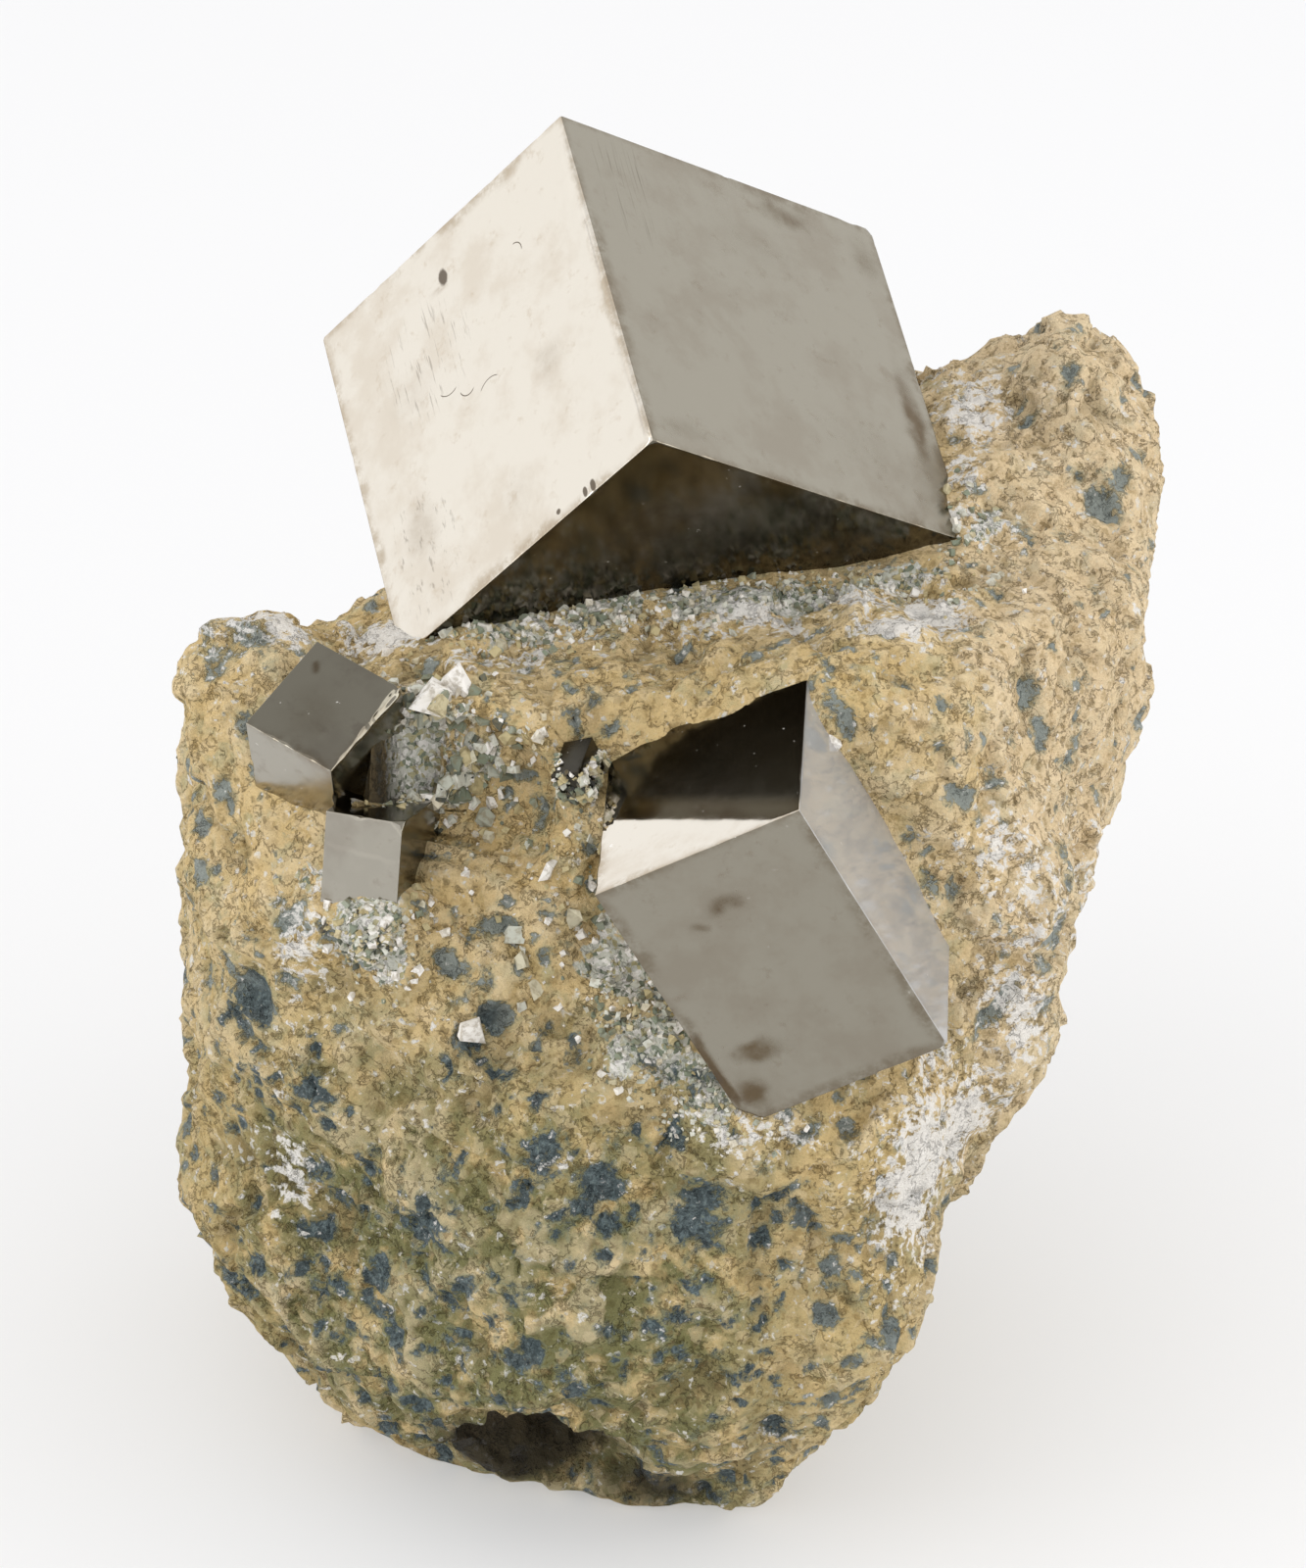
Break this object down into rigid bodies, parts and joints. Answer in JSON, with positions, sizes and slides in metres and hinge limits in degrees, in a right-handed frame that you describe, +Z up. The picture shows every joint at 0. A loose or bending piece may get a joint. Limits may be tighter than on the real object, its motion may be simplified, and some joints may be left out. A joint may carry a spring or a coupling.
{
  "type": "pyrite cube mineral specimen on matrix",
  "caption": "Mineral specimen of metallic pyrite cubes grown in a lump of ochre marl matrix, standing on its own base",
  "frame": {"origin": "centre of the bounding box at the surface that the rock stands on", "axes": "+Z up, -Y towards the displayed side, +X to the right of a viewer who faces that side"},
  "size_m": [0.0962, 0.091, 0.1239],
  "materials": {
    "matrix_marl": "matte",
    "pyrite_bright": "polished",
    "pyrite_dark": "gloss"
  },
  "bodies": {
    "root": {"matrix": "matrix_marl", "large_cube": "pyrite_bright", "middle_cube": "pyrite_bright", "small_cubes": "pyrite_dark", "tiny_cube": "pyrite_dark"}
  },
  "joints": []
}
